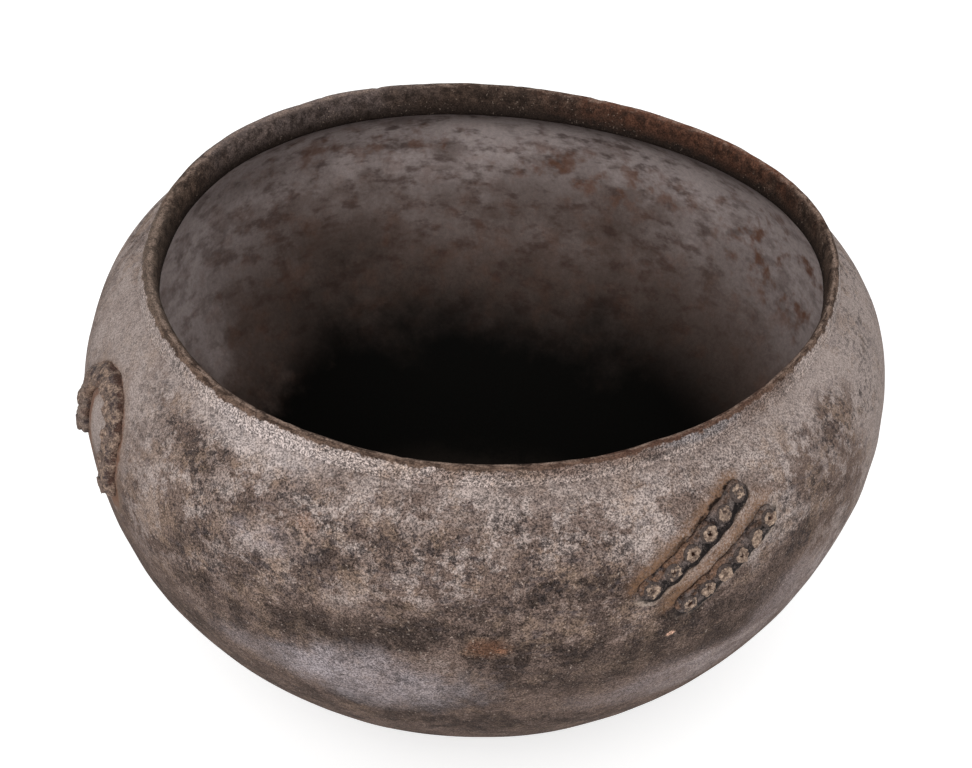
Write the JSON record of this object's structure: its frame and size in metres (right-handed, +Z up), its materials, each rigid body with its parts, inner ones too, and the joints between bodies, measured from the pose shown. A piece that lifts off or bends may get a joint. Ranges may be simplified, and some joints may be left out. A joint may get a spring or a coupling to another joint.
{
  "type": "cooking pot",
  "caption": "Hand-built round pottery cooking pot with a shoulder that leans in, a thick uneven lip, and raised strips of pricked knobs in slanting pairs and horseshoes.",
  "frame": {"origin": "centre of the flat patch under the bowl that the pot stands on", "axes": "+Z up through the mouth; -Y towards the front of the pot, the side with the pair of bars right of its middle; +X to the right seen from the front"},
  "size_m": [0.2987, 0.2987, 0.1825],
  "materials": {
    "pot_clay": "low-fired clay, matte, brown-grey with pale ash, dark fire clouds and a fine speckle",
    "lip_clay": "the same clay rubbed smooth by hands, dark brown with worn reddish and pale places",
    "strip_clay": "black, greasy and matte, with orange-brown stain along its edges",
    "knob_clay": "broken, pale tan tops with a dark prick and sooty sides"
  },
  "bodies": {
    "root": {"base_bowl": "pot_clay", "shoulder_wall": "pot_clay", "rim_lip": "lip_clay", "front_pair_upper_bar": "strip_clay", "front_pair_upper_bar_knob_1": "knob_clay", "front_pair_upper_bar_knob_2": "knob_clay", "front_pair_upper_bar_knob_3": "knob_clay", "front_pair_upper_bar_knob_4": "knob_clay", "front_pair_upper_bar_knob_5": "knob_clay", "front_pair_upper_bar_knob_6": "knob_clay", "front_pair_lower_bar": "strip_clay", "front_pair_lower_bar_knob_1": "knob_clay", "front_pair_lower_bar_knob_2": "knob_clay", "front_pair_lower_bar_knob_3": "knob_clay", "front_pair_lower_bar_knob_4": "knob_clay", "front_pair_lower_bar_knob_5": "knob_clay", "front_pair_lower_bar_knob_6": "knob_clay", "rear_pair_upper_bar": "strip_clay", "rear_pair_upper_bar_knob_1": "knob_clay", "rear_pair_upper_bar_knob_2": "knob_clay", "rear_pair_upper_bar_knob_3": "knob_clay", "rear_pair_upper_bar_knob_4": "knob_clay", "rear_pair_upper_bar_knob_5": "knob_clay", "rear_pair_upper_bar_knob_6": "knob_clay", "rear_pair_lower_bar": "strip_clay", "rear_pair_lower_bar_knob_1": "knob_clay", "rear_pair_lower_bar_knob_2": "knob_clay", "rear_pair_lower_bar_knob_3": "knob_clay", "rear_pair_lower_bar_knob_4": "knob_clay", "rear_pair_lower_bar_knob_5": "knob_clay", "rear_pair_lower_bar_knob_6": "knob_clay", "left_horseshoe": "strip_clay", "left_horseshoe_knob_1": "knob_clay", "left_horseshoe_knob_2": "knob_clay", "left_horseshoe_knob_3": "knob_clay", "left_horseshoe_knob_4": "knob_clay", "left_horseshoe_knob_5": "knob_clay", "left_horseshoe_knob_6": "knob_clay", "left_horseshoe_knob_7": "knob_clay", "left_horseshoe_knob_8": "knob_clay", "left_horseshoe_knob_9": "knob_clay", "right_horseshoe": "strip_clay", "right_horseshoe_knob_1": "knob_clay", "right_horseshoe_knob_2": "knob_clay", "right_horseshoe_knob_3": "knob_clay", "right_horseshoe_knob_4": "knob_clay", "right_horseshoe_knob_5": "knob_clay", "right_horseshoe_knob_6": "knob_clay", "right_horseshoe_knob_7": "knob_clay", "right_horseshoe_knob_8": "knob_clay", "right_horseshoe_knob_9": "knob_clay"}
  },
  "joints": []
}
